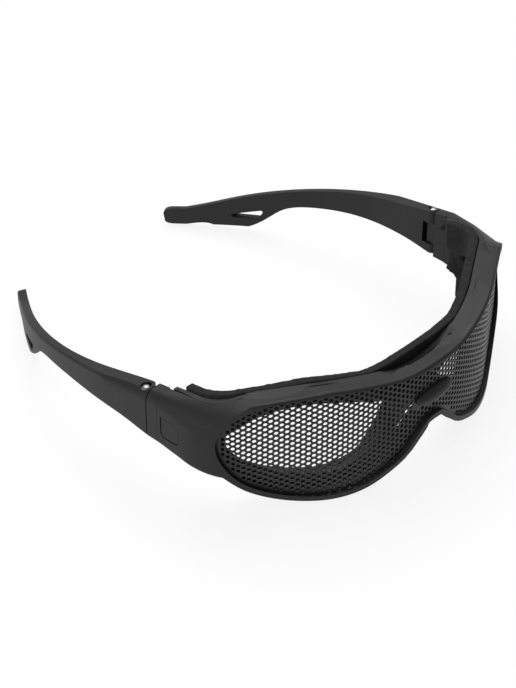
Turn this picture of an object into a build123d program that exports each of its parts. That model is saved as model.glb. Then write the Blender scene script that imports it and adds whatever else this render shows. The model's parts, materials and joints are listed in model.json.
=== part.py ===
from build123d import *
from math import asin, cos, degrees, radians, sin, sqrt, tan
import os

# Mesh safety goggles, lying open on their lower rims and temple tails.
# Millimetres, +Z up, the front faces -Y, the wearer's left is +X.
# Places are worked out with the hinge axes at Y zero and the table at Z zero.

# Front: one upright curved shell, round over the nose, straight outwards, then turned back at the shoulders
half_width = 73.2
front_reach = 62.5
front_radius = 78.0
chord_share = 0.5874
shoulder_radius = 22.0
inner_corner_radius = 3.0
frame_depth = 6.2
lip_thickness = 1.4
lip_cover = 0.7
rim_width = 1.8

# Heights of the front above the table
opening_inset = 3.8
opening_bottom = 3.1
opening_height = 40.7
wing_bottom = 18.6
wing_lead = 1.0
wing_drop = 5.0

# Lens opening, from the top of the nose bridge round to the notch: shares of its half width and height
opening_shares = [
    (0.0, 0.885), (0.216, 0.92), (0.432, 0.985), (0.64, 1.0), (0.84, 0.952), (0.965, 0.81), (1.0, 0.58),
    (0.93, 0.265), (0.764, 0.062), (0.555, 0.0), (0.346, 0.058), (0.187, 0.243), (0.075, 0.38), (0.0, 0.405),
]

# Head tilt: the brow and the temples lie level on the face, so they slope down to the rear on the table
tilt = 10.4
hinge_top = 36.6
brow_dip = 6.9
brow_dip_shares = [(0.0, 1.0), (0.33, 0.9), (0.52, 0.62), (0.7, 0.32), (0.86, 0.08), (1.0, 0.0)]
brow_dip_half_width = 42.0
edge_radius = 4.0

# Moulded edges are rounded; an edge that follows a plan line is found by these shares of its length
brow_round = 1.2
brow_rear_round = 0.8
wing_round = 1.5
temple_round = 1.0
button_round = 0.3
probe_shares = (0.1, 0.5, 0.9)
steep_share = 0.75
probe_tolerance = 0.06

# Perforated lens
mesh_thickness = 0.8
mesh_clearance = 0.1
mesh_grip = 0.55
hole_pitch = 4.9
hole_across = 3.4
hole_margin = 0.9

# Louvre on the nose bridge
louvre_half_width = 8.6
louvre_half_height = 3.1
louvre_rise = 2.6
louvre_height = 27.8
louvre_gap = 2.4
louvre_post_width = 7.0
louvre_post_height = 3.2

# Inner frame that holds the lens in and carries the foam
plate_thickness = 1.6
seat_clearance = 0.1
vent_half_width = 21.0
flange_thickness = 1.1
eye_half_width_share = 0.3415
eye_centre_share = 0.519
eye_half_height = 13.8
eye_centre_height = 21.0
eye_shares = [(-1.0, 0.42), (-0.2, 0.99), (0.6, 0.93), (1.0, 0.38), (0.72, -0.45), (0.1, -0.97), (-0.55, -0.82)]
band_inset = 1.4
tab_length = 1.2
tab_height = 5.2
tab_centre_height = 30.6

# Foam face seal
foam_gap = 0.3
foam_depth = 3.2
foam_inset = 0.5
foam_top_inset = 1.2
foam_eye_growth = 0.8
foam_back = -12.5

# Hinge
hinge_inset = 3.2
barrel_radius = 3.0
knuckle_radius = 2.2
knuckle_clearance = 0.15
knuckle_bottom = 22.9
knuckle_height = 8.5
knuckle_play = 0.1
block_front = 7.9
block_back = 3.1
arm_front = 2.7
parting_gap = 0.1
screw_radius = 1.0
screw_clearance = 0.05
screw_head_radius = 1.75
screw_head_height = 0.85
head_recess_clearance = 0.15
head_recess_depth = 1.15
nut_across = 3.2
nut_thickness = 1.6
nut_clearance = 0.05
nut_recess = 0.25

# Release button, tongue and socket in each wing
button_length = 8.0
button_height = 7.8
button_corner = 2.2
button_clearance = 0.12
button_travel = 1.7
button_flush = 0.1
button_centre_y = 13.4
button_centre_height = 26.6
wing_wall = 1.7
tongue_thickness = 3.0
tongue_wall = 1.5
tongue_floor = 0.6
socket_clearance = 0.1
spring_thickness = 0.25
spring_width = 3.6
spring_length = 6.6
spring_play = 0.05

# Rivets that hold the inner frame's side bands to the wings
rivet_head_radius = 1.6
rivet_head_rise = 0.8
rivet_radius = 0.9
rivet_length = 3.2
rivet_angle = 14.0
rivet_height = 27.5
rivet_clearance = 0.05

# Temple
arm_root_inset = 0.1
arm_straight = 14.0
arm_bend_radius = 121.0
arm_bend = 35.0
arm_reach = 107.5
arm_thickness = 3.0
arm_taper_end = 46.0
arm_stations = 10
tail_depth = 21.2
arm_top_shares = [(-0.03, -0.01), (0.14, 0.04), (0.39, 0.13), (0.6, 0.265), (0.75, 0.40), (0.88, 0.55), (0.965, 0.64)]
arm_tip_shares = [(1.0, 0.75), (0.985, 0.86), (0.93, 0.905)]
arm_heel_shares = [(0.84, 0.93), (0.735, 0.985), (0.675, 0.83), (0.61, 0.62)]
arm_bottom_shares = [(0.5, 0.525), (0.35, 0.53), (0.19, 0.61), (0.08, 0.72), (0.0, 0.845), (-0.03, 0.875)]
cord_hole_shares = [(0.672, 0.648), (0.777, 0.722), (0.786, 0.768), (0.768, 0.795), (0.702, 0.836)]
cord_hole_corner = 0.6

# Outlines are redrawn through this many points, and cutting solids run past what they cut
outline_steps = 26
spare_rows = 2
overrun = 8.0
far = 200.0


front_half_chord = half_width * chord_share
opening_half_width = half_width - opening_inset
eye_half_width = half_width * eye_half_width_share
eye_centre = half_width * eye_centre_share
hinge_x = half_width - hinge_inset
slope_angle = degrees(asin(front_half_chord / front_radius))
arc_centre_y = front_radius - front_reach
arc_end_y = arc_centre_y - sqrt(front_radius ** 2 - front_half_chord ** 2)
corner_y = arc_end_y + (half_width - front_half_chord) * tan(radians(slope_angle))
shoulder_tangent = shoulder_radius * tan(radians((90 - slope_angle) / 2))
shoulder_x = half_width - shoulder_radius
shoulder_y = corner_y + shoulder_tangent
wing_inner_x = half_width - frame_depth
seat_end_y = -(button_centre_y + button_length / 2 + tongue_wall + wing_wall)
opening_top = opening_bottom + opening_height
tongue_outer_x = half_width - wing_wall - socket_clearance
pocket_floor_x = tongue_outer_x - tongue_thickness + tongue_floor
button_inner_x = pocket_floor_x + spring_thickness + spring_play + button_travel


def front_path(depth, end_y):
    """The front's plan line, so deep behind its outer face, from the middle to the end of the left wing."""
    radius = front_radius - depth
    corner = max(shoulder_radius - depth, inner_corner_radius)
    centre = Vector(0, arc_centre_y)
    pivot_depth = depth + corner
    pivot_x = half_width - pivot_depth
    rise = (pivot_x - front_half_chord) * tan(radians(slope_angle))
    pivot = Vector(pivot_x, arc_end_y + rise + pivot_depth / cos(radians(slope_angle)))

    def on_arc(origin, size, angle):
        return origin + Vector(size * sin(radians(angle)), -size * cos(radians(angle)))

    start = on_arc(centre, radius, 0)
    middle = on_arc(centre, radius, slope_angle / 2)
    bend = on_arc(centre, radius, slope_angle)
    turn = on_arc(pivot, corner, slope_angle)
    turn_middle = on_arc(pivot, corner, (slope_angle + 90) / 2)
    turn_end = on_arc(pivot, corner, 90)
    return [
        ThreePointArc(start, middle, bend),
        Line(bend, turn),
        ThreePointArc(turn, turn_middle, turn_end),
        Line(turn_end, Vector(turn_end.X, end_y)),
    ]


def half_band(outer, inner, end_y):
    """The plan face between two depths, on the wearer's left."""
    front = front_path(outer, end_y)
    back = front_path(inner, end_y)
    ends = [Line(front[-1] @ 1, back[-1] @ 1), Line(front[0] @ 0, back[0] @ 0)]
    return make_face(front + back + ends)


def both(shape):
    """The shape and its mirror image across the nose."""
    return shape + mirror(shape, Plane.YZ)


def upright_band(outer, inner, end_y):
    """The curved shell between two depths, standing from under the table to above the brow."""
    half = Pos(0, 0, -overrun) * extrude(half_band(outer, inner, end_y), opening_top + 2 * overrun)
    return both(half)


def head_frame(shape):
    """Turns a shape drawn level on the face down to the goggles' tilt on the table."""
    return Pos(0, 0, hinge_top) * Rot(-tilt, 0, 0) * shape


def along_y(sketch, front_y, back_y):
    """A sketch drawn in X and Z, run from one Y to another."""
    face = Plane.XZ * sketch
    return Pos(0, back_y, 0) * extrude(face, back_y - front_y)


def along_x(sketch, inner_x, outer_x):
    """A sketch drawn in Y and Z, run from one X to another."""
    face = Plane.YZ * sketch
    return Pos(inner_x, 0, 0) * extrude(face, outer_x - inner_x)


def grown_points(line, growth):
    """Points of a clockwise outline moved outwards, square to it."""
    points = []
    for step in range(outline_steps + 1):
        place = step / outline_steps
        along = line.tangent_at(place)
        points.append(line.position_at(place) + Vector(-along.Y, along.X) * growth)
    return points


def opening_sketch(growth=0.0):
    """The lens opening seen from the front, or an outline round it at a distance."""
    points = [Vector(x * opening_half_width, opening_bottom + z * opening_height) for x, z in opening_shares]
    left = Spline(*points, tangents=[(1, 0), (-1, 0)])
    if growth:
        left = Spline(*grown_points(left, growth), tangents=[(1, 0), (-1, 0)])
    return make_face([left, mirror(left, Plane.YZ)])


def top_cover():
    """Everything below the brow line: level on the face, dipped over the nose, rounded at the wings."""
    points = [Vector(x * brow_dip_half_width, -z * brow_dip) for x, z in brow_dip_shares]
    dip = Spline(*points, tangents=[(1, 0), (1, 0)])
    corner = Vector(half_width, -edge_radius)
    flat_end = Vector(half_width - edge_radius, 0)
    outline = [
        dip,
        Line(points[-1], flat_end),
        RadiusArc(flat_end, corner, edge_radius),
        Line(corner, Vector(half_width, -far)),
        Line(Vector(half_width, -far), Vector(0, -far)),
        Line(Vector(0, -far), points[0]),
    ]
    half = along_y(make_face(outline), -far, far)
    return head_frame(both(half))


def wing_profile(end_y):
    """Side view of a wing: its lower edge runs level and drops into the rim at the shoulder."""
    front_y = -front_reach
    return make_face(Polyline(
        (end_y, wing_bottom), (shoulder_y, wing_bottom - wing_lead), (corner_y - wing_drop, wing_bottom - wing_drop),
        (front_y, wing_bottom - 2 * wing_drop),
        (front_y, far), (end_y, far), close=True,
    ))


def front_envelope(end_y, inset=0.0):
    """The front's outer form as a solid: rims seen from the front, wings seen from the side."""
    rim = along_y(opening_sketch(rim_width - inset) + brow_sketch(), -far, shoulder_y)
    wing = along_x(wing_profile(end_y), shoulder_x, half_width)
    wing = Pos(0, 0, inset) * wing
    return (rim + both(wing)) & top_cover()


def brow_sketch():
    """Seen from the front, the part of the rims that the brow line alone bounds above."""
    middle = opening_bottom + opening_height / 2
    box = Rectangle(2 * (opening_half_width - edge_radius), opening_height, align=(Align.CENTER, Align.MIN))
    return Pos(0, middle) * box


def follows(point, path):
    """Whether a point lies on a plan line or its mirror image, whatever its height."""
    spot = Vertex(abs(point.X), point.Y, 0)
    return min(piece.distance_to(spot) for piece in path) < probe_tolerance


def edges_along(shape, path, lowest, highest):
    """Edges of a shape that follow a plan line between two heights, apart from upright ones."""
    found = []
    for edge in shape.edges():
        points = [edge.position_at(share) for share in probe_shares]
        if not all(lowest < point.Z < highest and follows(point, path) for point in points):
            continue
        if abs(points[0].Z - points[-1].Z) < steep_share * edge.length:
            found.append(edge)
    return found


def make_front_frame():
    """The moulded front: rims, brow and wings, with the seat for the lens and a socket in each wing."""
    body = upright_band(0, frame_depth, -block_front) & front_envelope(-block_front)
    outer_line = front_path(0, -block_front)
    rear_line = front_path(frame_depth, -block_front)
    body = fillet(edges_along(body, outer_line, button_centre_height, far), brow_round)
    lower_edges = edges_along(body, outer_line, -overrun, button_centre_height)
    body = fillet([edge for edge in lower_edges if edge.position_at(probe_shares[1]).Y > corner_y], wing_round)
    body = fillet(edges_along(body, rear_line, button_centre_height, far), brow_rear_round)
    opening = along_y(opening_sketch(), -far, seat_end_y)
    seat_face = along_y(opening_sketch(lip_cover), -far, seat_end_y)
    seat = upright_band(lip_thickness, frame_depth + lip_thickness, -block_front) & seat_face
    body = body - opening - seat
    for side in (-1, 1):
        body = body - socket_solid(side)
        window = button_prism(button_clearance, tongue_outer_x, half_width + overrun)
        body = body - mirrored(window, side)
        body = body - rivet_shank(side, rivet_clearance)
    return body


def tongue_box(clearance):
    """The tongue's outer size, or its socket with the clearance added."""
    length = button_centre_y + button_length / 2 + tongue_wall - block_front
    height = button_height + 2 * tongue_wall
    box = Box(tongue_thickness + 2 * clearance, length + clearance, height + 2 * clearance,
              align=(Align.MAX, Align.MAX, Align.CENTER))
    return Pos(tongue_outer_x + clearance, -block_front, button_centre_height) * box


def socket_solid(side):
    """The hollow in a wing that takes the hinge block's tongue."""
    box = tongue_box(socket_clearance)
    mouth = Pos(0, overrun, 0) * box
    return mirrored(box + mouth, side)


def mirrored(shape, side):
    """The shape as drawn on the wearer's left, or its mirror image."""
    return shape if side > 0 else mirror(shape, Plane.YZ)


def button_sketch(growth):
    """Rounded square with one sharp corner, at the top towards the hinge."""
    face = Rectangle(button_length + 2 * growth, button_height + 2 * growth)
    corners = face.vertices().sort_by(lambda v: v.X + v.Y)[0:3]
    return fillet(corners, button_corner + growth)


def button_prism(growth, inner_x, outer_x):
    """The button's outline run between two X, drawn on the wearer's left."""
    return along_x(Pos(-button_centre_y, button_centre_height) * button_sketch(growth), inner_x, outer_x)


def rivet_shank(side, clearance):
    """The rivet's shank, or its hole with the clearance added."""
    shank = Cylinder(rivet_radius + clearance, rivet_length + clearance,
                     align=(Align.CENTER, Align.CENTER, Align.MIN))
    return mirrored(rivet_place() * shank, side)


def rivet_place():
    """Where a rivet's head sits, on the inner frame at the shoulder, square to it."""
    seat = shoulder_radius - frame_depth - seat_clearance - plate_thickness
    seat = sqrt(seat ** 2 - rivet_head_radius ** 2)
    return Pos(shoulder_x, shoulder_y, rivet_height) * Rot(0, 0, -rivet_angle) * Pos(seat, 0, 0) * Rot(0, 90, 0)


def make_rivets():
    """Two domed rivets through the inner frame's side bands."""
    solids = []
    for side in (-1, 1):
        ball_radius = (rivet_head_radius ** 2 + rivet_head_rise ** 2) / (2 * rivet_head_rise)
        dome = Pos(0, 0, ball_radius - rivet_head_rise) * Sphere(ball_radius)
        dome = dome & Cylinder(rivet_head_radius, rivet_head_rise, align=(Align.CENTER, Align.CENTER, Align.MAX))
        head = mirrored(rivet_place() * dome, side)
        solids.append(head + rivet_shank(side, 0))
    return solids


def surface_place(distance):
    """Plan point and outward angle on the front's outer face, so far from the nose along it."""
    arc_length = front_radius * radians(slope_angle)
    line_length = (shoulder_x + shoulder_radius * sin(radians(slope_angle)) - front_half_chord)
    line_length = line_length / cos(radians(slope_angle))
    travel = abs(distance)
    if travel <= arc_length:
        angle = degrees(travel / front_radius)
        x = front_radius * sin(radians(angle))
        y = arc_centre_y - front_radius * cos(radians(angle))
    elif travel <= arc_length + line_length:
        angle = slope_angle
        x = front_half_chord + (travel - arc_length) * cos(radians(angle))
        y = arc_end_y + (travel - arc_length) * sin(radians(angle))
    else:
        angle = slope_angle + degrees((travel - arc_length - line_length) / shoulder_radius)
        x = shoulder_x + shoulder_radius * sin(radians(angle))
        y = shoulder_y - shoulder_radius * cos(radians(angle))
    return (x, y, angle) if distance >= 0 else (-x, y, -angle)


def make_mesh_lens():
    """One sheet across both eyes, punched with staggered holes and cut out for the louvre."""
    front = lip_thickness + mesh_clearance
    outline = along_y(opening_sketch(mesh_grip), -far, shoulder_y + overrun)
    sheet = upright_band(front, front + mesh_thickness, -block_front) & outline
    inside = opening_sketch(-hole_across / 2 - hole_margin)
    clear_of_louvre = (louvre_half_width + hole_across, louvre_half_height + louvre_gap + hole_across)
    column_pitch = hole_pitch * sqrt(3) / 2
    punch = extrude(RegularPolygon(hole_across / 2, 6, major_radius=False), front + mesh_thickness + overrun)
    columns = int((front_reach + half_width) / column_pitch)
    rows = int(opening_height / hole_pitch) + spare_rows
    punches = []
    for column in range(-columns, columns + 1):
        x, y, angle = surface_place(column * column_pitch)
        if abs(x) >= opening_half_width:
            continue
        for row in range(rows):
            z = opening_bottom + (row + (column % 2) / 2) * hole_pitch
            if not inside.face().is_inside(Vector(x, z, 0)):
                continue
            across = abs(x) / clear_of_louvre[0]
            up = abs(z - louvre_height - louvre_gap / 2) / clear_of_louvre[1]
            if across ** 2 + up ** 2 < 1:
                continue
            punches.append(Pos(x, y, z) * Rot(0, 0, angle) * Rot(-90, 0, 0) * punch)
    print("lens holes", len(punches))
    louvre_cut = Ellipse(louvre_half_width + louvre_gap / 2, louvre_half_height + louvre_gap / 2 + mesh_clearance)
    louvre_cut = along_y(Pos(0, louvre_height + louvre_gap / 2) * louvre_cut, -far, 0)
    return sheet - louvre_cut - punches


def make_louvre():
    """Almond-shaped louvre that stands proud of the lens, on a post from the inner frame."""
    dome = scale(Sphere(1), by=(louvre_half_width, louvre_rise, louvre_half_height))
    dome = Pos(0, lip_thickness - front_reach, louvre_height) * dome
    front_half = Pos(0, lip_thickness + mesh_thickness - front_reach, louvre_height)
    front_half = front_half * Box(far, far, far, align=(Align.CENTER, Align.MAX, Align.CENTER))
    post_length = frame_depth - lip_thickness
    post = Box(louvre_post_width, post_length, louvre_post_height, align=(Align.CENTER, Align.MIN, Align.CENTER))
    post = Pos(0, lip_thickness - front_reach, louvre_height) * post
    return dome & front_half, post


def plate_path(depth, end_y):
    """The inner frame's plan line: as the front's, but straight across the nose, which leaves a vent."""
    path = front_path(depth, end_y)
    radius = front_radius - depth
    angle = asin(vent_half_width / radius)
    cut = Vector(vent_half_width, arc_centre_y - radius * cos(angle))
    middle_angle = (angle + radians(slope_angle)) / 2
    middle = Vector(radius * sin(middle_angle), arc_centre_y - radius * cos(middle_angle))
    return [Line(Vector(0, cut.Y), cut), ThreePointArc(cut, middle, path[0] @ 1)] + path[1:]


def plate_band(outer, inner, end_y):
    """Upright shell between two depths behind the front, straight across the nose."""
    front = plate_path(outer, end_y)
    back = plate_path(inner, end_y)
    ends = [Line(front[-1] @ 1, back[-1] @ 1), Line(front[0] @ 0, back[0] @ 0)]
    half = Pos(0, 0, -overrun) * extrude(make_face(front + back + ends), opening_top + 2 * overrun)
    return both(half)


def eye_sketch(growth=0.0):
    """The see-through opening over one eye, wider towards the temple."""
    points = [Vector(eye_centre + x * eye_half_width, eye_centre_height + z * eye_half_height) for x, z in eye_shares]
    outline = Spline(*points, periodic=True)
    if growth:
        outline = Spline(*grown_points(outline, growth)[:-1], periodic=True)
    return make_face(outline)


def make_inner_frame():
    """Moulded ring behind the lens: plate with two eye openings, lens flange, side bands and end tabs."""
    front = frame_depth + seat_clearance
    back = front + plate_thickness
    end_y = -block_front - band_inset
    plate = plate_band(front, back, end_y) & front_envelope(end_y, band_inset)
    flange_outline = opening_sketch(mesh_grip)
    flange_ring = flange_outline - opening_sketch(mesh_grip - flange_thickness)
    flange_front = lip_thickness + 2 * mesh_clearance + mesh_thickness
    flange = upright_band(flange_front, back, -block_front)
    flange = flange & along_y(flange_ring, -far, seat_end_y - seat_clearance)
    body = plate + flange
    eye = along_y(eye_sketch(), -far, shoulder_y)
    body = body - both(eye)
    for side in (-1, 1):
        tab = SlotOverall(2 * tab_length + tab_height, tab_height)
        tab = along_x(Pos(end_y, tab_centre_height) * tab, wing_inner_x - seat_clearance - plate_thickness,
                      wing_inner_x - seat_clearance)
        body = body + mirrored(tab, side)
        body = body - rivet_shank(side, rivet_clearance)
    return body


def make_foam():
    """Closed-cell foam ring on the back of the inner frame, between it and the face."""
    front = frame_depth + seat_clearance + plate_thickness + foam_gap
    ring = plate_band(front, front + foam_depth, foam_back)
    ring = ring & front_envelope(foam_back, foam_inset + band_inset) & Pos(0, 0, -foam_top_inset) * top_cover()
    eye = along_y(eye_sketch(foam_eye_growth), -far, foam_back + overrun)
    ring = ring - both(eye)
    pocket = Cylinder(rivet_head_radius + foam_gap, overrun, align=(Align.CENTER, Align.CENTER, Align.MAX))
    return ring - both(rivet_place() * pocket)


def make_hinge_block():
    """Block between front and temple, drawn on the left: knuckle behind, tongue with a button pocket in front."""
    body = Box(frame_depth, block_front - block_back - parting_gap, far,
               align=(Align.MAX, Align.MAX, Align.CENTER))
    body = Pos(half_width, -block_back, 0) * body
    body = body & along_x(block_side(), 0, far) & top_cover()
    body = body + tongue_box(0) + Pos(0, parting_gap, 0) * tongue_box(0)
    neck = Box(2 * knuckle_radius, block_back, knuckle_height, align=(Align.CENTER, Align.MAX, Align.MIN))
    barrel = Cylinder(knuckle_radius, knuckle_height, align=(Align.CENTER, Align.CENTER, Align.MIN))
    body = body + Pos(hinge_x, 0, knuckle_bottom) * (neck + barrel)
    bore = Cylinder(screw_radius + screw_clearance, far)
    pocket = button_prism(button_clearance, pocket_floor_x, half_width)
    body = body - Pos(hinge_x, 0, 0) * bore - pocket
    side_line = [Line((half_width, -block_front), (half_width, block_front))]
    return fillet(edges_along(body, side_line, -overrun, knuckle_bottom), wing_round)


def make_button():
    """Release button, a little rounded round its face."""
    face_x = half_width - button_flush
    body = button_prism(0, button_inner_x, face_x)
    return fillet(body.faces().sort_by(Axis.X)[-1].edges(), button_round)


def block_side():
    """Side view of the block and the temple's root: everything above the wing's lower edge."""
    return make_face(Polyline((-far, wing_bottom), (far, wing_bottom), (far, far), (-far, far), close=True))


def arm_centre(y):
    """The temple's plan centreline and its angle at a distance behind the hinge."""
    root = half_width - (frame_depth - arm_root_inset) / 2
    bend_end = arm_straight + arm_bend_radius * sin(radians(arm_bend))
    if y <= arm_straight:
        return root, 0.0
    if y <= bend_end:
        angle = asin((y - arm_straight) / arm_bend_radius)
        return root - arm_bend_radius * (1 - cos(angle)), angle
    drop = arm_bend_radius * (1 - cos(radians(arm_bend)))
    return root - drop - (y - bend_end) * tan(radians(arm_bend)), radians(arm_bend)


def arm_plan():
    """Plan of the left temple: thick at the hinge, thinning to the tail."""
    root_thickness = frame_depth - arm_root_inset
    outer = []
    inner = []
    for step in range(arm_stations + 1):
        y = (arm_reach + overrun) * step / arm_stations
        x, angle = arm_centre(y)
        blend = min(y / arm_taper_end, 1)
        blend = blend * blend * (3 - 2 * blend)
        half = (root_thickness + (arm_thickness - root_thickness) * blend) / 2
        outer.append(Vector(x + half * cos(angle), y + half * sin(angle)))
        inner.append(Vector(x - half * cos(angle), y - half * sin(angle)))
    outer_line = Spline(*outer, tangents=[(0, 1), (-sin(radians(arm_bend)), cos(radians(arm_bend)))])
    inner_line = Spline(*inner, tangents=[(0, 1), (-sin(radians(arm_bend)), cos(radians(arm_bend)))])
    front_outer = Vector(outer[0].X, -arm_front)
    front_inner = Vector(inner[0].X, -arm_front)
    return make_face([
        outer_line, Line(outer[-1], inner[-1]), inner_line,
        Line(inner[0], front_inner), Line(front_inner, front_outer), Line(front_outer, outer[0]),
    ])


def share_points(shares):
    """Points of the temple's side view from shares of its reach and its depth, level on the face."""
    return [Vector(y * arm_reach, -z * tail_depth) for y, z in shares]


def arm_side():
    """Side view of the temple, level on the face."""
    top = share_points(arm_top_shares)
    tip = share_points(arm_tip_shares)
    heel = share_points(arm_heel_shares)
    bottom = share_points(arm_bottom_shares)
    round_tail = Spline(*(top + tip + heel[:1]))
    straight = Line(heel[0], heel[1])
    root_line = Spline(*(heel[1:] + bottom))
    return make_face([round_tail, straight, root_line, Line(bottom[-1], top[0])])


def is_outer_edge(edge):
    """Whether an edge runs along the temple's outer face, behind its straight root or under it."""
    points = [edge.position_at(share) for share in probe_shares]
    for point in points:
        x, angle = arm_centre(point.Y)
        if point.X < x or point.Y < 0:
            return False
    steep = abs(points[0].Z - points[-1].Z) > steep_share * edge.length
    level = abs(points[0].Y - points[-1].Y) < (1 - steep_share) * edge.length
    under_cover = points[0].Y < arm_straight + overrun and points[1].Z > button_centre_height
    return not (steep or level or under_cover)


def make_temple():
    """The left temple: curved in plan, tapered in side view, with a cord hole in the tail and two knuckles."""
    plan = Pos(0, 0, -far / 2) * extrude(arm_plan(), far)
    side = head_frame(along_x(arm_side(), 0, far))
    body = plan & side & top_cover()
    outer_edges = [edge for edge in body.edges() if is_outer_edge(edge)]
    body = fillet(outer_edges, temple_round)
    hole = make_face(Polyline(*share_points(cord_hole_shares), close=True))
    hole = fillet(hole.vertices(), cord_hole_corner)
    body = body - head_frame(along_x(hole, 0, far))
    axis = Pos(hinge_x, 0, 0)
    corner = Box(barrel_radius + overrun, barrel_radius + overrun, far, align=(Align.MAX, Align.MAX, Align.CENTER))
    body = body - axis * (corner - Cylinder(barrel_radius, far))
    slot_radius = knuckle_radius + knuckle_clearance
    slot_height = knuckle_height + 2 * knuckle_play
    slot = Cylinder(slot_radius, slot_height, align=(Align.CENTER, Align.CENTER, Align.MIN))
    mouth = Box(slot_radius + overrun, overrun, slot_height, align=(Align.MAX, Align.MAX, Align.MIN))
    side_mouth = Box(overrun, slot_radius + overrun, slot_height, align=(Align.MAX, Align.MAX, Align.MIN))
    slot = slot + Pos(slot_radius, 0, 0) * mouth + Pos(0, slot_radius, 0) * side_mouth
    body = body - Pos(hinge_x, 0, knuckle_bottom - knuckle_play) * slot
    body = body - axis * Cylinder(screw_radius + screw_clearance, far)
    recess = Cylinder(screw_head_radius + head_recess_clearance, far, align=(Align.CENTER, Align.CENTER, Align.MIN))
    body = body - Pos(hinge_x, 0, hinge_top - head_recess_depth) * recess
    nut_hole = extrude(RegularPolygon(nut_across / 2 + nut_clearance, 6, major_radius=False), far)
    nut_top = wing_bottom + nut_recess + nut_thickness
    return body - Pos(hinge_x, 0, nut_top - far) * nut_hole


def make_screw():
    """Dome-headed hinge screw, down through the three knuckles into its nut."""
    head_seat = hinge_top - head_recess_depth
    ball_radius = (screw_head_radius ** 2 + screw_head_height ** 2) / (2 * screw_head_height)
    dome = Pos(0, 0, screw_head_height - ball_radius) * Sphere(ball_radius)
    head = dome & Cylinder(screw_head_radius, far, align=(Align.CENTER, Align.CENTER, Align.MIN))
    length = head_seat - wing_bottom - nut_recess
    shank = Cylinder(screw_radius, length, align=(Align.CENTER, Align.CENTER, Align.MAX))
    return Pos(hinge_x, 0, head_seat) * (head + shank)


def make_nut():
    """Hexagon nut let into the lower knuckle from below."""
    nut = extrude(RegularPolygon(nut_across / 2, 6, major_radius=False), nut_thickness)
    nut = nut - Cylinder(screw_radius + screw_clearance, far)
    return Pos(hinge_x, 0, wing_bottom + nut_recess) * nut


def make_spring():
    """Bowed steel strip under the button."""
    floor = pocket_floor_x
    top = button_inner_x
    ends = spring_length / 2
    outer = ThreePointArc((floor + spring_thickness, -ends), (top, 0), (floor + spring_thickness, ends))
    inner = ThreePointArc((floor, -ends), (top - spring_thickness, 0), (floor, ends))
    caps = [Line(outer @ 0, inner @ 0), Line(outer @ 1, inner @ 1)]
    strip = extrude(make_face([outer, inner] + caps), spring_width)
    return Pos(0, -button_centre_y, button_centre_height - spring_width / 2) * strip


dome, post = make_louvre()
nodes = {
    "front_frame": make_front_frame(),
    "mesh_lens": make_mesh_lens(),
    "bridge_louvre": dome + post,
    "inner_frame": make_inner_frame(),
    "face_foam": make_foam(),
    "retainer_rivets": make_rivets(),
}
left_pieces = {
    "hinge_block": make_hinge_block(),
    "temple": make_temple(),
    "hinge_screw": make_screw(),
    "hinge_nut": make_nut(),
    "release_button": make_button(),
    "button_spring": make_spring(),
}
for name, shape in left_pieces.items():
    nodes[name + "_left"] = shape
    nodes[name + "_right"] = mirror(shape, Plane.YZ)


# The origin is the middle of the goggles' footprint, on the table
solids = {name: Compound(list(shape) if isinstance(shape, list) else shape.solids()) for name, shape in nodes.items()}
box = Compound(list(solids.values())).bounding_box()
shift = Pos(0, -(box.min.Y + box.max.Y) / 2, -box.min.Z)
print("hinge axis Y", round((shift * Pos(0, 0, 0)).position.Y, 4), "table Z", round(box.min.Z, 4))
print("size", [round(v, 3) for v in (box.size.X, box.size.Y, box.size.Z)])

os.makedirs("parts", exist_ok=True)
for name, shape in solids.items():
    export_step(shift * shape, f"parts/{name}.step")
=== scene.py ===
import bmesh
import bpy
import json
import math
import numpy as np
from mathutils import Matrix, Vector, noise


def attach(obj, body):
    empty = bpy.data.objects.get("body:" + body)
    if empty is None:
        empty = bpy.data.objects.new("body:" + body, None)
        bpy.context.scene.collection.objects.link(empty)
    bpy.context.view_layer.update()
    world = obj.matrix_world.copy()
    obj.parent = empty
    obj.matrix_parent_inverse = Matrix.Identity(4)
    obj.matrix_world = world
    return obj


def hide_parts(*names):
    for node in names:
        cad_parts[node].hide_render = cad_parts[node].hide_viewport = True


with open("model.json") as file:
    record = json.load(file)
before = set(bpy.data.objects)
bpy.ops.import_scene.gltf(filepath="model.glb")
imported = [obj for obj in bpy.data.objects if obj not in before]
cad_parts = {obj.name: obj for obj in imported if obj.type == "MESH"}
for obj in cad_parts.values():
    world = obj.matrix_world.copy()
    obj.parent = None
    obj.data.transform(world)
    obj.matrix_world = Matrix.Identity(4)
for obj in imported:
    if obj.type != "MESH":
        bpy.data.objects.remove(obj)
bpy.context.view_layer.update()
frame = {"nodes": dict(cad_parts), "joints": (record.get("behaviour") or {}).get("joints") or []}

# Camera: above the wearer's right temple, looking down across the front, as in the photograph.
# Its place and lens were worked out from points on both halves of the goggles.
camera_data = bpy.data.cameras.new("camera")
camera_data.lens = 128.45
camera_data.sensor_width = 36.0
camera_data.clip_start = 0.01
camera = bpy.data.objects.new("camera", camera_data)
camera.location = (-0.48695, -0.47259, 0.52165)
camera.rotation_euler = (math.radians(90 - 37.27), 0, math.radians(-45.94))
bpy.context.collection.objects.link(camera)
bpy.context.scene.camera = camera
bpy.context.scene.view_settings.view_transform = "Standard"

# Table: a plain pale surface with a world of the same tone.
# Both show white to the camera, while the table keeps the goggles' soft shadow.


def linear(hex_colour):
    """An sRGB colour such as "#303030" as the linear RGBA that a shader socket takes."""
    shares = [int(hex_colour[place:place + 2], 16) / 255 for place in (1, 3, 5)]
    return [s / 12.92 if s <= 0.04045 else ((s + 0.055) / 1.055) ** 2.4 for s in shares] + [1.0]


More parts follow.
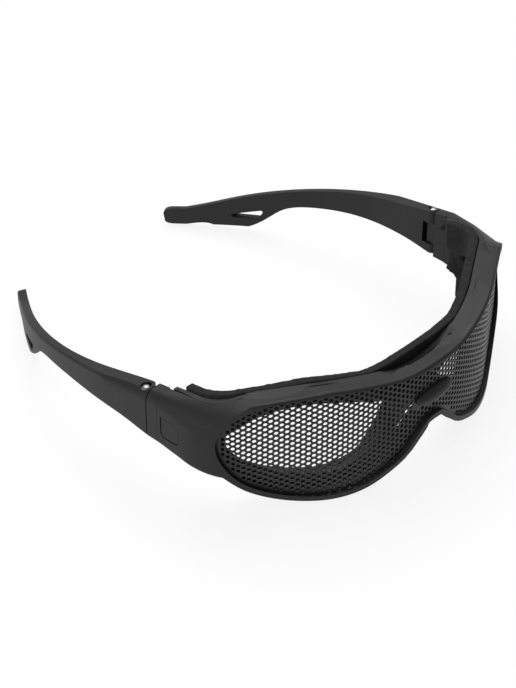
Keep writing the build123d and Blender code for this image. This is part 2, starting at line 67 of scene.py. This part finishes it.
def add_node(tree, kind, settings=None, links=None):
    """Adds a node and returns it.

    Settings set its attributes or, by socket name or number, its inputs. Links feed its inputs.
    """
    node = tree.nodes.new(kind)
    for name, value in (settings or {}).items():
        if isinstance(name, str) and hasattr(node, name):
            setattr(node, name, value)
        else:
            node.inputs[name].default_value = value
    for name, source in (links or {}).items():
        tree.links.new(source, node.inputs[name])
    return node


def new_material(name):
    """An empty node material and its output node."""
    material = bpy.data.materials.new(name)
    material.use_nodes = True
    material.node_tree.nodes.clear()
    output = material.node_tree.nodes.new("ShaderNodeOutputMaterial")
    return material, material.node_tree, output


bpy.ops.object.select_all(action="DESELECT")
bpy.ops.mesh.primitive_plane_add(size=4.0, location=(0, 0, 0))
table = bpy.context.object
table.name = "table"
table_paint, tree, output = new_material("matte_white_laminate")
laminate = add_node(tree, "ShaderNodeBsdfPrincipled", {
    "Base Color": linear("#EDEDED"), "Roughness": 0.6, "IOR": 1.5, "Specular IOR Level": 0.2,
})
white = add_node(tree, "ShaderNodeEmission", {"Color": linear("#FFFFFF"), "Strength": 1.0})
path = add_node(tree, "ShaderNodeLightPath")
seen = add_node(tree, "ShaderNodeMath", {"operation": "MULTIPLY", 1: 0.85},
                {0: path.outputs["Is Camera Ray"]})
mirrored = add_node(tree, "ShaderNodeMath", {"operation": "MAXIMUM"},
                    {0: path.outputs["Is Glossy Ray"], 1: path.outputs["Is Transmission Ray"]})
whitened = add_node(tree, "ShaderNodeMath", {"operation": "MAXIMUM"},
                    {0: seen.outputs[0], 1: mirrored.outputs[0]})
mix = add_node(tree, "ShaderNodeMixShader", {},
               {0: whitened.outputs[0], 1: laminate.outputs[0], 2: white.outputs[0]})
tree.links.new(mix.outputs[0], output.inputs["Surface"])
table.data.materials.append(table_paint)

world = bpy.data.worlds.new("studio")
bpy.context.scene.world = world
world.use_nodes = True
tree = world.node_tree
tree.nodes.clear()
path = add_node(tree, "ShaderNodeLightPath")
room = add_node(tree, "ShaderNodeBackground", {"Color": linear("#FFFFFF"), "Strength": 0.5})
backdrop = add_node(tree, "ShaderNodeBackground", {"Color": linear("#FFFFFF"), "Strength": 1.0})
shown = add_node(tree, "ShaderNodeMath", {"operation": "MAXIMUM"},
                 {0: path.outputs["Is Camera Ray"], 1: path.outputs["Is Transmission Ray"]})
mix = add_node(tree, "ShaderNodeMixShader", {},
               {0: shown.outputs[0], 1: room.outputs[0], 2: backdrop.outputs[0]})
output = add_node(tree, "ShaderNodeOutputWorld", {}, {"Surface": mix.outputs[0]})


# Studio lamps: a broad softbox overhead and behind, and a smaller one low on the wearer's right,
# which draws the light band along the lower edge of the wing and the temple.
def add_softbox(name, place, target, size, power):
    """A square area lamp aimed at a point; power in watts."""
    data = bpy.data.lights.new(name, "AREA")
    data.shape = "SQUARE"
    data.size = size
    data.energy = power
    lamp = bpy.data.objects.new(name, data)
    lamp.location = place
    lamp.rotation_euler = (Vector(target) - Vector(place)).to_track_quat("-Z", "Y").to_euler()
    bpy.context.collection.objects.link(lamp)


add_softbox("overhead_softbox", (0.25, 0.35, 0.9), (0, 0, 0.02), 0.9, 9.0)
add_softbox("side_softbox", (-0.9, -0.1, 0.35), (0, 0, 0.02), 0.5, 3.0)


# Moulded plastic parts: louvre, rivets, hinge blocks and buttons here, front, inner frame and temples below.
# Black glass-filled nylon from steel moulds with a spark-eroded surface,
# which gives a dull, faintly speckled black.
nylon, tree, output = new_material("moulded_black_nylon")
place = add_node(tree, "ShaderNodeTexCoord")
grain = add_node(tree, "ShaderNodeTexNoise", {"Scale": 1 / 0.00035, "Detail": 3.0, "Roughness": 0.6},
                 {"Vector": place.outputs["Object"]})
cloud = add_node(tree, "ShaderNodeTexNoise", {"Scale": 1 / 0.012, "Detail": 2.0, "Roughness": 0.5},
                 {"Vector": place.outputs["Object"]})
tone = add_node(tree, "ShaderNodeValToRGB", {}, {"Fac": cloud.outputs["Fac"]})
tone.color_ramp.elements[0].position = 0.3
tone.color_ramp.elements[0].color = linear("#171717")
tone.color_ramp.elements[1].position = 0.7
tone.color_ramp.elements[1].color = linear("#1C1C1D")
dullness = add_node(tree, "ShaderNodeMapRange", {"To Min": 0.42, "To Max": 0.58},
                    {"Value": grain.outputs["Fac"]})
relief = add_node(tree, "ShaderNodeBump", {"Strength": 0.25, "Distance": 0.00008},
                  {"Height": grain.outputs["Fac"]})
surface = add_node(tree, "ShaderNodeBsdfPrincipled", {"IOR": 1.53, "Specular IOR Level": 0.25},
                   {"Base Color": tone.outputs["Color"], "Roughness": dullness.outputs["Result"],
                    "Normal": relief.outputs["Normal"]})
tree.links.new(surface.outputs[0], output.inputs["Surface"])


def give(names, material):
    """Puts one material on every slot of some CAD nodes."""
    for name in names:
        mesh = frame["nodes"][name].data
        if not mesh.materials:
            mesh.materials.append(material)
        for slot in range(len(mesh.materials)):
            mesh.materials[slot] = material


sides = {"left": 1, "right": -1}
give(["bridge_louvre", "retainer_rivets"], nylon)
give([f"{piece}_{side}" for piece in ("hinge_block", "release_button") for side in sides], nylon)

# Lens: one sheet of 0.5 mm steel, punched with staggered round holes 1.5 mm across,
# then curved and coated satin black. It is modelled flat, as the real sheet is punched,
# and then laid along the front's plan curve.
axis_y = frame["joints"][0]["pos_m"][1]
table_lift = 0.0010191

# The plan curve is round over the nose, straight outwards, and turned back at the shoulders.
front_radius = 0.078
front_reach = 0.0625
half_width = 0.0732
chord_share = 0.5874
half_chord = chord_share * half_width
shoulder_radius = 0.022
arc_centre = front_radius - front_reach
flare = math.asin(half_chord / front_radius)
arc_end = arc_centre - math.sqrt(front_radius ** 2 - half_chord ** 2)
shoulder_y = (arc_end + (half_width - half_chord) * math.tan(flare)
              + shoulder_radius * math.tan((math.pi / 2 - flare) / 2))
arc_run = front_radius * flare
line_run = (half_width - shoulder_radius * (1 - math.sin(flare)) - half_chord) / math.cos(flare)


def plan_place(run, depth=0.0):
    """Plan point on the front, so far from the nose along its outer face and so deep behind it."""
    travel = abs(run)
    if travel <= arc_run:
        angle = travel / front_radius
        x = front_radius * math.sin(angle)
        y = arc_centre - front_radius * math.cos(angle)
    elif travel <= arc_run + line_run:
        angle = flare
        x = half_chord + (travel - arc_run) * math.cos(angle)
        y = arc_end + (travel - arc_run) * math.sin(angle)
    else:
        angle = flare + (travel - arc_run - line_run) / shoulder_radius
        x = half_width - shoulder_radius * (1 - math.sin(angle))
        y = shoulder_y - shoulder_radius * math.cos(angle)
    x, y = x - depth * math.sin(angle), y + depth * math.cos(angle)
    return (x if run >= 0 else -x), y + axis_y


def plan_run(x):
    """How far along the outer face a point at this X is."""
    side = abs(x)
    if side <= half_chord:
        run = front_radius * math.asin(side / front_radius)
    elif side <= half_width - shoulder_radius * (1 - math.sin(flare)):
        run = arc_run + (side - half_chord) / math.cos(flare)
    else:
        angle = math.asin((side - half_width + shoulder_radius) / shoulder_radius)
        run = arc_run + line_run + shoulder_radius * (angle - flare)
    return run if x >= 0 else -run


def smooth_loop(points, steps):
    """A closed cubic spline through points, over their chord lengths, with some steps to each span."""
    count = len(points)
    marks = np.array(points)
    spans = np.linalg.norm(np.roll(marks, -1, axis=0) - marks, axis=1)
    system = np.zeros((count, count))
    pull = np.zeros((count, 2))
    for k in range(count):
        before, after = spans[k - 1], spans[k]
        system[k, k - 1] = after
        system[k, k] = 2 * (before + after)
        system[k, (k + 1) % count] = before
        pull[k] = 3 * (after / before * (marks[k] - marks[k - 1])
                       + before / after * (marks[(k + 1) % count] - marks[k]))
    slopes = np.linalg.solve(system, pull)
    loop = []
    for k in range(count):
        follower = (k + 1) % count
        start, end, span = marks[k], marks[follower], spans[k]
        for step in range(steps):
            t = step / steps
            loop.append((2 * t ** 3 - 3 * t ** 2 + 1) * start + (t ** 3 - 2 * t ** 2 + t) * span * slopes[k]
                        + (3 * t ** 2 - 2 * t ** 3) * end + (t ** 3 - t ** 2) * span * slopes[follower])
    return loop


opening_half_width = 0.0694
opening_steps = 12


def opening_outline(bottom, height, shares):
    """The lens opening as a closed loop of places seen from the front."""
    half = [(x * opening_half_width, bottom + table_lift + z * height) for x, z in shares]
    return smooth_loop(half + [(-x, z) for x, z in half[-2:0:-1]], opening_steps)


def clamped(share):
    """A share held between 0 and 1."""
    return min(1, max(0, share))


opening_bottom = 0.0022
opening_height = 0.0416
opening_shares = [
    (0.0, 0.888), (0.216, 0.922), (0.432, 0.985), (0.64, 1.0), (0.84, 0.953), (0.965, 0.814), (1.0, 0.589),
    (0.93, 0.281), (0.764, 0.082), (0.555, 0.0), (0.386, 0.035), (0.285, 0.101), (0.177, 0.2), (0.101, 0.345),
    (0.0, 0.418),
]
brow_drop = 0.0017
drop_start = 0.037
drop_end = 0.0465
drop_places = [0.006, 0.016, 0.05, 0.062]
drop_shares = [0, 1, 1, 0]


def brow_fall(x, z):
    """How far a point sinks, since the brow runs lower between nose and shoulders than the solid's."""
    share = clamped((z - drop_start) / (drop_end - drop_start))
    return brow_drop * share ** 2 * float(np.interp(abs(x), drop_places, drop_shares))


opening_loop = [np.array((x, z - brow_fall(x, z)))
                for x, z in opening_outline(opening_bottom, opening_height, opening_shares)]


def grown(loop, growth):
    """A clockwise loop moved outwards, square to its line."""
    moved = []
    for k, point in enumerate(loop):
        along = loop[(k + 1) % len(loop)] - loop[k - 1]
        along = along / np.linalg.norm(along)
        moved.append(point + np.array((-along[1], along[0])) * growth)
    return moved


def inside(point, loop):
    """Whether a flat point lies inside a loop."""
    x, z = point
    found = False
    for k, (x1, z1) in enumerate(loop):
        x0, z0 = loop[k - 1]
        if (z0 > z) != (z1 > z) and x < (x1 - x0) * (z - z0) / (z1 - z0) + x0:
            found = not found
    return found


def select_only(piece):
    """Makes one piece the only selected one and the active one."""
    bpy.ops.object.select_all(action="DESELECT")
    piece.select_set(True)
    bpy.context.view_layer.objects.active = piece


def start_edit(piece):
    """Opens one piece alone in edit mode with all of it selected."""
    select_only(piece)
    bpy.ops.object.mode_set(mode="EDIT")
    bpy.ops.mesh.select_all(action="SELECT")


def turn_outwards(piece):
    """Turns the normals of a whole piece outwards."""
    start_edit(piece)
    bpy.ops.mesh.normals_make_consistent(inside=False)
    bpy.ops.object.mode_set(mode="OBJECT")


def apply_modifier(piece, kind, **settings):
    """Adds a modifier with its settings and applies it at once."""
    select_only(piece)
    modifier = piece.modifiers.new(kind.lower(), kind)
    for name, value in settings.items():
        setattr(modifier, name, value)
    bpy.ops.object.modifier_apply(modifier=modifier.name)


hole_pitch = 0.00205
column_pitch = hole_pitch * math.sqrt(3) / 2
hole_radius = 0.00075
hole_sides = 12
hole_edge = 2 * hole_radius * math.sin(math.pi / hole_sides)
hole_edge_spare = 1.1
cell_weld = 0.00005
sheet_depth = 0.00175
sheet_thickness = 0.0005
sheet_grip = 0.00065
louvre_cut_height = 0.0272 + table_lift
louvre_cut_size = (0.0084, 0.0026)
louvre_cut_steps = 48
louvre_spare = hole_pitch * 0.7

# One hole with its share of sheet round it: the hole's circle is pulled out to a rectangle of 12 points,
# which meet those of the next column half a pitch higher. The shares give each point's place
# on the rectangle, by how many twelfths of a turn it lies from the right-hand side.
rise_shares = [0, 0.25, 0.5, 0.5, 0.5, 0.25, 0]
across_shares = [0.5, 0.5, 0.5, 0, -0.5, -0.5, -0.5]
bpy.ops.object.select_all(action="DESELECT")
bpy.ops.mesh.primitive_circle_add(vertices=hole_sides, radius=hole_radius, fill_type="NOTHING")
sheet = bpy.context.object
sheet.name = "perforated_lens"
start_edit(sheet)
bpy.ops.mesh.extrude_region()
cell = bmesh.from_edit_mesh(sheet.data)
for vertex in cell.verts:
    if vertex.select:
        angle = math.atan2(vertex.co.y, vertex.co.x)
        sector = abs(round(angle / (math.tau / hole_sides)))
        vertex.co = (across_shares[sector] * column_pitch,
                     math.copysign(rise_shares[sector], angle) * hole_pitch, 0)
bmesh.update_edit_mesh(sheet.data)
bpy.ops.object.mode_set(mode="OBJECT")

# The cell is repeated up a column, set beside its neighbour half a pitch higher,
# and the pair of columns is repeated sideways.
rows = 2 * math.ceil(opening_height / hole_pitch / 2) + 2
pairs = math.ceil(plan_run(opening_half_width) / column_pitch / 2) + 1
apply_modifier(sheet, "ARRAY", count=rows, use_relative_offset=False, use_constant_offset=True,
               constant_offset_displace=(0, hole_pitch, 0))
apply_modifier(sheet, "ARRAY", count=2, use_relative_offset=False, use_constant_offset=True,
               constant_offset_displace=(column_pitch, hole_pitch / 2, 0))
apply_modifier(sheet, "ARRAY", count=2 * pairs, use_relative_offset=False, use_constant_offset=True,
               constant_offset_displace=(2 * column_pitch, 0, 0))
field_left = -2 * pairs * column_pitch
field_bottom = opening_bottom + table_lift - hole_pitch
for vertex in sheet.data.vertices:
    vertex.co.x += field_left
    vertex.co.y += field_bottom


def cell_of(place):
    """The column and the row of the cell at a place on the flat sheet."""
    column = round((place.x - field_left) / column_pitch)
    return column, round((place.y - field_bottom) / hole_pitch - (column % 2) / 2)


def cell_centre(column, row):
    """The middle of a cell's hole on the flat sheet."""
    return field_left + column * column_pitch, field_bottom + (row + (column % 2) / 2) * hole_pitch


# Cells that the lens's edge or the cut round the louvre would reach are taken away.
punched_edge = grown(opening_loop, -hole_radius)
louvre_reach = [size + louvre_spare for size in louvre_cut_size]
start_edit(sheet)
bpy.ops.mesh.remove_doubles(threshold=cell_weld)
bpy.ops.mesh.select_all(action="DESELECT")
cells = bmesh.from_edit_mesh(sheet.data)
kept = {}
for face in cells.faces:
    cell = cell_of(face.calc_center_median())
    if cell not in kept:
        run, height = cell_centre(*cell)
        x = plan_place(run)[0]
        louvre_distance = math.hypot(x / louvre_reach[0], (height - louvre_cut_height) / louvre_reach[1])
        kept[cell] = inside((x, height), punched_edge) and louvre_distance >= 1
    face.select_set(not kept[cell])
bmesh.update_edit_mesh(sheet.data)
bpy.ops.mesh.delete(type="FACE")
bpy.ops.object.mode_set(mode="OBJECT")

# The sheet's outer edge and the louvre's cut are added as closed lines,
# and the plain sheet between them and the punched field is filled in.
outer_edge = [(plan_run(x), z) for x, z in grown(opening_loop, sheet_grip)]
louvre_cut = []
for step in range(louvre_cut_steps):
    angle = step * math.tau / louvre_cut_steps
    x = louvre_cut_size[0] * math.cos(angle)
    z = louvre_cut_height + louvre_cut_size[1] * math.sin(angle)
    louvre_cut.append((plan_run(x), z))
start_edit(sheet)
bpy.ops.mesh.select_all(action="DESELECT")
cells = bmesh.from_edit_mesh(sheet.data)
for loop in (outer_edge, louvre_cut):
    ring = [cells.verts.new((run, z, 0)) for run, z in loop]
    for k in range(len(ring)):
        cells.edges.new((ring[k - 1], ring[k]))
for edge in cells.edges:
    if edge.is_boundary or edge.is_wire:
        round_hole = edge.is_boundary and edge.calc_length() < hole_edge_spare * hole_edge
        if round_hole:
            middle = (edge.verts[0].co + edge.verts[1].co) / 2
            centre = Vector((*cell_centre(*cell_of(middle)), 0))
            round_hole = (middle - centre).length < hole_radius
        edge.select_set(not round_hole)
bmesh.update_edit_mesh(sheet.data)
bpy.ops.mesh.fill(use_beauty=True)
bpy.ops.object.mode_set(mode="OBJECT")

# The flat sheet is laid along the plan curve and given its thickness.
for vertex in sheet.data.vertices:
    run, height = vertex.co.x, vertex.co.y
    vertex.co = (*plan_place(run, sheet_depth), height)
turn_outwards(sheet)
apply_modifier(sheet, "SOLIDIFY", thickness=sheet_thickness, offset=0.0)
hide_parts("mesh_lens")
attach(sheet, "front")

coated, tree, output = new_material("satin_black_coated_steel")
place = add_node(tree, "ShaderNodeTexCoord")
orange_peel = add_node(tree, "ShaderNodeTexNoise", {"Scale": 1 / 0.0004, "Detail": 2.0},
                       {"Vector": place.outputs["Object"]})
gloss = add_node(tree, "ShaderNodeMapRange", {"To Min": 0.32, "To Max": 0.45},
                 {"Value": orange_peel.outputs["Fac"]})
relief = add_node(tree, "ShaderNodeBump", {"Strength": 0.15, "Distance": 0.00005},
                  {"Height": orange_peel.outputs["Fac"]})
coat = add_node(tree, "ShaderNodeBsdfPrincipled",
                {"Base Color": linear("#1C1C1C"), "IOR": 1.5, "Specular IOR Level": 0.3},
                {"Roughness": gloss.outputs["Result"], "Normal": relief.outputs["Normal"]})
tree.links.new(coat.outputs[0], output.inputs["Surface"])
sheet.data.materials.append(coated)

# Front: one moulded shell with brow, rims, nose notch and two wings, and a seat for the lens behind its lip.
# It follows the solid, but its rims are drawn to the lens's own line and its brow runs lower.
node_weld = 0.00001
crease_angle = math.radians(32)


def copy_node(name, piece_name):
    """A new piece with the mesh of a CAD node, welded, and without its stored normals and materials."""
    piece = bpy.data.objects.new(piece_name, frame["nodes"][name].data.copy())
    bpy.context.collection.objects.link(piece)
    piece.data.materials.clear()
    start_edit(piece)
    bpy.ops.mesh.customdata_custom_splitnormals_clear()
    bpy.ops.mesh.remove_doubles(threshold=node_weld)
    bpy.ops.object.mode_set(mode="OBJECT")
    return piece


def shade(piece):
    """Smooth shading on one piece, with its edges sharper than the crease angle left crisp."""
    select_only(piece)
    bpy.ops.object.shade_smooth_by_angle(angle=crease_angle)
    apply_modifier(piece, "WEIGHTED_NORMAL", keep_sharp=True)


def ray_table(loop, centre):
    """Angles round a centre and how far out the right half of a loop lies at each."""
    rays = []
    for x, z in loop:
        if x >= 0:
            rays.append((math.atan2(z - centre[1], x - centre[0]), math.dist((x, z), centre)))
    rays.sort()
    return [angle for angle, reach in rays], [reach for angle, reach in rays]


solid_bottom = 0.0031
solid_height = 0.0407
solid_shares = [
    (0.0, 0.885), (0.216, 0.92), (0.432, 0.985), (0.64, 1.0), (0.84, 0.952), (0.965, 0.81), (1.0, 0.58),
    (0.93, 0.265), (0.764, 0.062), (0.555, 0.0), (0.346, 0.058), (0.187, 0.243), (0.075, 0.38), (0.0, 0.405),
]
lens_centre = (0.036, 0.0235)
solid_angles, solid_reach = ray_table(opening_outline(solid_bottom, solid_height, solid_shares), lens_centre)
drawn_angles, drawn_reach = ray_table(opening_loop, lens_centre)

# The rim moves whole for 3 mm outside the opening and fades out over the next 5 mm.
# Inwards it moves whole for 2 mm and fades out over the next 2 mm.
# It isn't moved outwards above the still height, at the brow, or past the last X, in the wings.
full_reach = 0.003
fade_length = 0.005
inner_fade = 0.002
still_height = 0.034
last_x = 0.066


def draw_out(piece):
    """Moves the rim's vertices outwards from the solid's lens opening to the drawn one, and the brow down."""
    for vertex in piece.data.vertices:
        side = abs(vertex.co.x)
        place = (side - lens_centre[0], vertex.co.z - lens_centre[1])
        angle = math.atan2(place[1], place[0])
        reach = math.hypot(*place)
        edge = float(np.interp(angle, solid_angles, solid_reach))
        growth = float(np.interp(angle, drawn_angles, drawn_reach)) - edge
        growth *= clamped(1 - (reach - edge - full_reach) / fade_length)
        growth *= clamped((reach - edge + 2 * inner_fade) / inner_fade)
        growth *= clamped((still_height - vertex.co.z) / fade_length)
        if solid_angles[0] < angle < solid_angles[-1] and side < last_x:
            moved = max(0, side + growth * place[0] / reach)
            vertex.co.y += plan_place(plan_run(moved))[1] - plan_place(plan_run(side))[1]
            vertex.co.x = math.copysign(moved, vertex.co.x)
            vertex.co.z += growth * place[1] / reach
        vertex.co.z -= brow_fall(vertex.co.x, vertex.co.z)


shell = copy_node("front_frame", "front_shell")
draw_out(shell)

# Inner frame: a moulded ring behind the lens, with an eye opening on each side and bands back to the hinges.
# Its top edge dips over the nose, which leaves an open slot behind the front's brow.
inner = copy_node("inner_frame", "inner_shell")
draw_out(inner)
vent_half_width = 0.0175
vent_drop = 0.003
vent_floor = 0.034
vent_cuts = 3
brow_depth = 0.0063
start_edit(inner)
mesh = bmesh.from_edit_mesh(inner.data)
for vertex in mesh.verts:
    vertex.select_set(abs(vertex.co.x) < 2 * vent_half_width and vertex.co.z > vent_floor)
mesh.select_flush_mode()
bmesh.update_edit_mesh(inner.data)
bpy.ops.mesh.subdivide(number_cuts=vent_cuts)
bpy.ops.object.mode_set(mode="OBJECT")
for vertex in inner.data.vertices:
    side = abs(vertex.co.x)
    depth = vertex.co.y - plan_place(plan_run(side))[1]
    if side < vent_half_width and depth > brow_depth and vertex.co.z > vent_floor:
        vertex.co.z -= vent_drop * (1 - (side / vent_half_width) ** 2)

# Shoulders: the real front and inner frame turn down in one round at their top outer corners,
# small at the hinge block and larger towards the lens. A bar hollowed to that round is cut off both.
# Each round is a place along Y, from the hinge axes, and the corner's radius there.
tilt = math.radians(10.4)
hinge_top = 0.0366 + table_lift
block_front = 0.0079
corner_spare = 0.004
corner_steps = 12
corner_points = corner_steps + 4
corner_rounds = [
    (-block_front + corner_spare, 0.004), (-block_front, 0.004), (shoulder_y, 0.0085),
    (shoulder_y - 0.012, 0.0165), (-front_reach, 0.018),
]
for sign in sorted(sides.values()):
    bpy.ops.object.select_all(action="DESELECT")
    bpy.ops.mesh.primitive_circle_add(vertices=corner_points, fill_type="NGON")
    corner = bpy.context.object
    start_edit(corner)
    for _ in corner_rounds[1:]:
        bpy.ops.mesh.extrude_region()
    bpy.ops.object.mode_set(mode="OBJECT")
    points = corner.data.vertices
    rings = [points[k:k + corner_points] for k in range(0, len(points), corner_points)]
    for ring, (y, radius) in zip(rings, corner_rounds):
        profile = [(half_width - radius * (1 - math.sin(turn)), -radius * (1 - math.cos(turn)))
                   for turn in np.linspace(0, math.pi / 2, corner_steps + 1)]
        profile += [(half_width + corner_spare, -radius), (half_width + corner_spare, corner_spare),
                    (half_width - radius, corner_spare)]
        for vertex, (x, rise) in zip(ring, profile):
            vertex.co = (sign * x, y * math.cos(tilt) + rise * math.sin(tilt) + axis_y,
                         hinge_top - y * math.sin(tilt) + rise * math.cos(tilt))
    turn_outwards(corner)
    for piece in (shell, inner):
        apply_modifier(piece, "BOOLEAN", object=corner, operation="DIFFERENCE", solver="EXACT")
    bpy.data.objects.remove(corner)
for piece, node in ((shell, "front_frame"), (inner, "inner_frame")):
    shade(piece)
    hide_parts(node)
    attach(piece, "front")
    piece.data.materials.append(nylon)

# Temples: the real tail is a flat bar whose end is rounded in the mould, so that it slides over the ear.
# Each arm follows the solid as far as its tail, which is then drawn out to a blunt, rounded end.
# The rings give how far past the cut each one is, and its share of the tail's height.
tail_turn = math.radians(35)
tail_slope = -0.08
tail_length = 0.0095
tail_rings = [(0.0035, 1.0), (0.0055, 0.98), (0.0068, 0.9), (0.0077, 0.76), (0.0083, 0.5)]
for side, sign in sides.items():
    arm = copy_node(f"temple_{side}", f"temple_arm_{side}")
    tip = max(arm.data.vertices, key=lambda vertex: vertex.co.y).co
    along = Vector((-sign * math.sin(tail_turn), math.cos(tail_turn), tail_slope)).normalized()
    cut = tip - along * tail_length
    start_edit(arm)
    bpy.ops.mesh.bisect(plane_co=cut, plane_no=along, clear_outer=True)
    bpy.ops.mesh.select_all(action="DESELECT")
    mesh = bmesh.from_edit_mesh(arm.data)
    rim = [edge for edge in mesh.edges if edge.is_boundary]
    section = {vertex for edge in rim for vertex in edge.verts}
    middle = sum((vertex.co for vertex in section), Vector()) / len(section)
    for edge in rim:
        edge.select_set(True)
    bmesh.update_edit_mesh(arm.data)
    reached, share = 0.0, 1.0
    for ring_reach, ring_share in tail_rings:
        bpy.ops.mesh.extrude_region()
        mesh = bmesh.from_edit_mesh(arm.data)
        for vertex in mesh.verts:
            if vertex.select:
                vertex.co += along * (ring_reach - reached)
                level = middle.z + along.z * ring_reach
                vertex.co.z = level + (vertex.co.z - level) * ring_share / share
        reached, share = ring_reach, ring_share
        bmesh.update_edit_mesh(arm.data)
    bpy.ops.mesh.edge_face_add()
    bpy.ops.object.mode_set(mode="OBJECT")
    turn_outwards(arm)
    shade(arm)
    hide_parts(f"temple_{side}")
    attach(arm, f"temple_{side}_body")
    arm.data.materials.append(nylon)

# Face seal: a band of closed-cell foam, cut from sheet and glued round the back of the inner frame.
# Its cut edges are soft and uneven, and its skin is a dull black with fine pores.
# Rare lighter grey specks in its colour are painted highlights, where pores would catch the light.
# It stands a little higher behind the brow than the solid does.
foam_voxel = 0.00045
lift = 0.0022
lift_start = 0.03
lift_end = 0.037
bump_size = 0.0016
bump_rise = 0.00012
foam = copy_node("face_foam", "foam_seal")
apply_modifier(foam, "REMESH", mode="VOXEL", voxel_size=foam_voxel)
apply_modifier(foam, "SMOOTH", factor=0.5, iterations=8)
for vertex in foam.data.vertices:
    vertex.co.z += lift * clamped((vertex.co.z - lift_start) / (lift_end - lift_start))
    vertex.co.z -= brow_fall(vertex.co.x, vertex.co.z)
bumps = []
for vertex in foam.data.vertices:
    bumps.append(vertex.co + vertex.normal * bump_rise * noise.noise(vertex.co / bump_size))
for vertex, place in zip(foam.data.vertices, bumps):
    vertex.co = place
select_only(foam)
bpy.ops.object.shade_smooth()
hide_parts("face_foam")
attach(foam, "front")

seal, tree, output = new_material("black_closed_cell_foam")
place = add_node(tree, "ShaderNodeTexCoord")
pores = add_node(tree, "ShaderNodeTexVoronoi", {"Scale": 1 / 0.0006}, {"Vector": place.outputs["Object"]})
skin = add_node(tree, "ShaderNodeTexNoise", {"Scale": 1 / 0.002, "Detail": 4.0, "Roughness": 0.7},
                {"Vector": place.outputs["Object"]})
tone = add_node(tree, "ShaderNodeValToRGB", {}, {"Fac": skin.outputs["Fac"]})
tone.color_ramp.elements[0].position = 0.35
tone.color_ramp.elements[0].color = linear("#1B1B1B")
tone.color_ramp.elements[1].position = 0.7
tone.color_ramp.elements[1].color = linear("#2A2A2A")
# Painted highlights: rare cells of a coarser pattern get a lighter grey in the base colour, as glints off
# pores.
glint_cells = add_node(tree, "ShaderNodeTexVoronoi", {"Scale": 1 / 0.0022}, {"Vector": place.outputs["Object"]})
chance = add_node(tree, "ShaderNodeSeparateColor", {}, {"Color": glint_cells.outputs["Color"]})
rare = add_node(tree, "ShaderNodeMath", {"operation": "GREATER_THAN", 1: 0.95}, {0: chance.outputs["Red"]})
core = add_node(tree, "ShaderNodeMath", {"operation": "LESS_THAN", 1: 0.14}, {0: glint_cells.outputs["Distance"]})
painted_glint_mask = add_node(tree, "ShaderNodeMath", {"operation": "MULTIPLY"}, {0: rare.outputs[0], 1: core.outputs[0]})
colour = add_node(tree, "ShaderNodeMix", {"data_type": "RGBA", 7: linear("#6E6E6C")},
                  {0: painted_glint_mask.outputs[0], 6: tone.outputs["Color"]})
relief = add_node(tree, "ShaderNodeBump", {"Strength": 0.6, "Distance": 0.0002},
                  {"Height": pores.outputs["Distance"]})
surface = add_node(tree, "ShaderNodeBsdfPrincipled",
                   {"Roughness": 0.9, "IOR": 1.5, "Specular IOR Level": 0.2},
                   {"Base Color": colour.outputs[2], "Normal": relief.outputs["Normal"]})
tree.links.new(surface.outputs[0], output.inputs["Surface"])
foam.data.materials.append(seal)

# Hinge screws, their nuts and the strips under the buttons: small steel parts.
# Turned and pressed from steel wire and strip, then bright zinc plated,
# so they glint between the dull black parts.
plated, tree, output = new_material("zinc_plated_steel")
place = add_node(tree, "ShaderNodeTexCoord")
polish = add_node(tree, "ShaderNodeTexNoise", {"Scale": 1 / 0.0003, "Detail": 2.0},
                  {"Vector": place.outputs["Object"]})
gloss = add_node(tree, "ShaderNodeMapRange", {"To Min": 0.22, "To Max": 0.38},
                 {"Value": polish.outputs["Fac"]})
surface = add_node(tree, "ShaderNodeBsdfPrincipled", {"Base Color": linear("#8E8E8C"), "Metallic": 1.0},
                   {"Roughness": gloss.outputs["Result"]})
tree.links.new(surface.outputs[0], output.inputs["Surface"])
give([f"{piece}_{side}" for piece in ("hinge_screw", "hinge_nut", "button_spring") for side in sides], plated)
